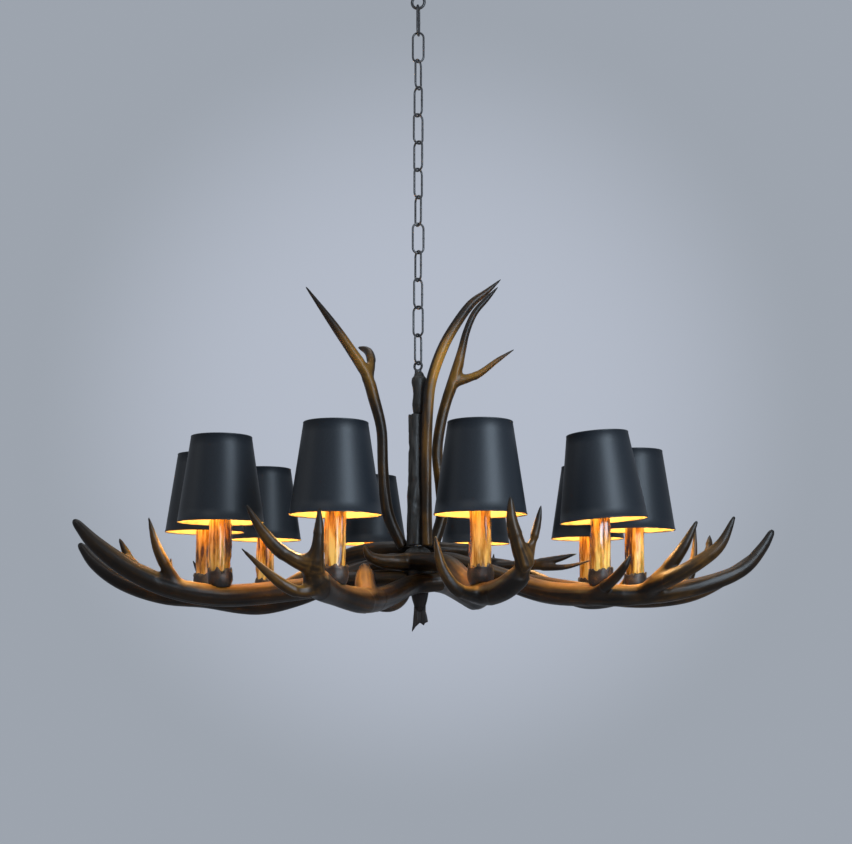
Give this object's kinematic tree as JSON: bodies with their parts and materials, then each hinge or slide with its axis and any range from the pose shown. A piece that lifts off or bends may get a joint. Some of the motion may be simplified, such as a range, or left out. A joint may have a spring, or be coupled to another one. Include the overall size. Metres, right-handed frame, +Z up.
{
  "type": "antler chandelier",
  "caption": "Hanging chandelier of cast antlers round a bark column, with shaded candle lamps, a link chain and a ceiling cup.",
  "frame": {"origin": "centre of the ceiling strap's two slots, in the plane of the ceiling", "axes": "+Z up into the ceiling, -Y towards the front that the picture shows, +X to its right"},
  "size_m": [0.9792, 0.8096, 0.9729],
  "materials": {
    "zinc_steel": "zinc plated, dull",
    "black_metal": "black paint, satin",
    "antler_resin": "cast resin, stained dark brown with blackish tips, satin gloss, long grooves",
    "bark_resin": "cast resin, dark grey-brown bark",
    "finial_resin": "cast resin, dark reddish brown",
    "burr_cup": "cast resin burr with a ragged rim, dark brown",
    "candle_sleeve": "amber wax look with drips, glossy",
    "holder_plastic": "cream moulded plastic",
    "lamp_glass": "frosted candle lamp",
    "shade_fabric": "black satin laminated outside, gold foil inside"
  },
  "bodies": {
    "ceiling_fixing": {"ceiling_strap": "zinc_steel", "nipple": "zinc_steel", "nipple_nut": "zinc_steel", "canopy": "black_metal", "canopy_loop": "black_metal"},
    "chain_link_01": {"chain_link_01": "black_metal"},
    "chain_link_02": {"chain_link_02": "black_metal"},
    "chain_link_03": {"chain_link_03": "black_metal"},
    "chain_link_04": {"chain_link_04": "black_metal"},
    "chain_link_05": {"chain_link_05": "black_metal"},
    "chain_link_06": {"chain_link_06": "black_metal"},
    "chain_link_07": {"chain_link_07": "black_metal"},
    "chain_link_08": {"chain_link_08": "black_metal"},
    "chain_link_09": {"chain_link_09": "black_metal"},
    "chain_link_10": {"chain_link_10": "black_metal"},
    "chain_link_11": {"chain_link_11": "black_metal"},
    "chain_link_12": {"chain_link_12": "black_metal"},
    "chain_link_13": {"chain_link_13": "black_metal"},
    "chandelier": {"column_eye": "black_metal", "centre_rod": "zinc_steel", "burr_knob": "bark_resin", "bark_column": "bark_resin", "hub": "bark_resin", "hub_nut": "zinc_steel", "finial": "finial_resin", "candle_cups": "burr_cup", "candle_sleeves": "candle_sleeve", "lamp_holders": "holder_plastic", "lamps": "lamp_glass", "antler_front_left": "antler_resin", "antler_front_right": "antler_resin", "antler_right": "antler_resin", "antler_right_rear": "antler_resin", "antler_back_right": "antler_resin", "antler_back": "antler_resin", "antler_back_left": "antler_resin", "antler_left_rear": "antler_resin", "antler_left": "antler_resin", "antler_left_front": "antler_resin", "antler_crown_left": "antler_resin", "antler_crown_centre": "antler_resin", "antler_crown_right": "antler_resin"},
    "shade_01": {"shade_01": "shade_fabric"},
    "shade_02": {"shade_02": "shade_fabric"},
    "shade_03": {"shade_03": "shade_fabric"},
    "shade_04": {"shade_04": "shade_fabric"},
    "shade_05": {"shade_05": "shade_fabric"},
    "shade_06": {"shade_06": "shade_fabric"},
    "shade_07": {"shade_07": "shade_fabric"},
    "shade_08": {"shade_08": "shade_fabric"},
    "shade_09": {"shade_09": "shade_fabric"},
    "shade_10": {"shade_10": "shade_fabric"}
  },
  "joints": [
    {"name": "link_01_swing", "type": "hinge", "parent": "ceiling_fixing", "child": "chain_link_01", "pos_m": [0, 0, -0.0805], "axis": [-0.9848, 0.1736, 0], "range_deg": [-6, 6]},
    {"name": "link_02_swing", "type": "hinge", "parent": "chain_link_01", "child": "chain_link_02", "pos_m": [0, 0, -0.1197], "axis": [0.1736, 0.9848, 0], "range_deg": [-6, 6]},
    {"name": "link_03_swing", "type": "hinge", "parent": "chain_link_02", "child": "chain_link_03", "pos_m": [0, 0, -0.1594], "axis": [0.9962, -0.0872, 0], "range_deg": [-6, 6]},
    {"name": "link_04_swing", "type": "hinge", "parent": "chain_link_03", "child": "chain_link_04", "pos_m": [0, 0, -0.1991], "axis": [0.5, 0.866, 0], "range_deg": [-6, 6]},
    {"name": "link_05_swing", "type": "hinge", "parent": "chain_link_04", "child": "chain_link_05", "pos_m": [0, 0, -0.2388], "axis": [0.682, -0.7314, 0], "range_deg": [-6, 6]},
    {"name": "link_06_swing", "type": "hinge", "parent": "chain_link_05", "child": "chain_link_06", "pos_m": [0, 0, -0.2785], "axis": [0.7986, 0.6018, 0], "range_deg": [-6, 6]},
    {"name": "link_07_swing", "type": "hinge", "parent": "chain_link_06", "child": "chain_link_07", "pos_m": [0, 0, -0.3182], "axis": [0.7314, -0.682, 0], "range_deg": [-6, 6]},
    {"name": "link_08_swing", "type": "hinge", "parent": "chain_link_07", "child": "chain_link_08", "pos_m": [0, 0, -0.3579], "axis": [0.682, 0.7314, 0], "range_deg": [-6, 6]},
    {"name": "link_09_swing", "type": "hinge", "parent": "chain_link_08", "child": "chain_link_09", "pos_m": [0, 0, -0.3976], "axis": [0.515, -0.8572, 0], "range_deg": [-6, 6]},
    {"name": "link_10_swing", "type": "hinge", "parent": "chain_link_09", "child": "chain_link_10", "pos_m": [0, 0, -0.4373], "axis": [0.9816, 0.1908, 0], "range_deg": [-6, 6]},
    {"name": "link_11_swing", "type": "hinge", "parent": "chain_link_10", "child": "chain_link_11", "pos_m": [0, 0, -0.477], "axis": [0.515, -0.8572, 0], "range_deg": [-6, 6]},
    {"name": "link_12_swing", "type": "hinge", "parent": "chain_link_11", "child": "chain_link_12", "pos_m": [0, 0, -0.5167], "axis": [0.7314, 0.682, 0], "range_deg": [-6, 6]},
    {"name": "link_13_swing", "type": "hinge", "parent": "chain_link_12", "child": "chain_link_13", "pos_m": [0, 0, -0.5564], "axis": [0.848, -0.5299, 0], "range_deg": [-6, 6]},
    {"name": "chandelier_swing", "type": "hinge", "parent": "chain_link_13", "child": "chandelier", "pos_m": [0, 0, -0.5961], "axis": [0.5592, 0.829, 0], "range_deg": [-6, 6]},
    {"name": "shade_01_lift", "type": "slide", "parent": "chandelier", "child": "shade_01", "axis": [0, 0, 1], "range_m": [0, 0.06]},
    {"name": "shade_02_lift", "type": "slide", "parent": "chandelier", "child": "shade_02", "axis": [0, 0, 1], "range_m": [0, 0.06]},
    {"name": "shade_03_lift", "type": "slide", "parent": "chandelier", "child": "shade_03", "axis": [0, 0, 1], "range_m": [0, 0.06]},
    {"name": "shade_04_lift", "type": "slide", "parent": "chandelier", "child": "shade_04", "axis": [0, 0, 1], "range_m": [0, 0.06]},
    {"name": "shade_05_lift", "type": "slide", "parent": "chandelier", "child": "shade_05", "axis": [0, 0, 1], "range_m": [0, 0.06]},
    {"name": "shade_06_lift", "type": "slide", "parent": "chandelier", "child": "shade_06", "axis": [0, 0, 1], "range_m": [0, 0.06]},
    {"name": "shade_07_lift", "type": "slide", "parent": "chandelier", "child": "shade_07", "axis": [0, 0, 1], "range_m": [0, 0.06]},
    {"name": "shade_08_lift", "type": "slide", "parent": "chandelier", "child": "shade_08", "axis": [0, 0, 1], "range_m": [0, 0.06]},
    {"name": "shade_09_lift", "type": "slide", "parent": "chandelier", "child": "shade_09", "axis": [0, 0, 1], "range_m": [0, 0.06]},
    {"name": "shade_10_lift", "type": "slide", "parent": "chandelier", "child": "shade_10", "axis": [0, 0, 1], "range_m": [0, 0.06]}
  ]
}
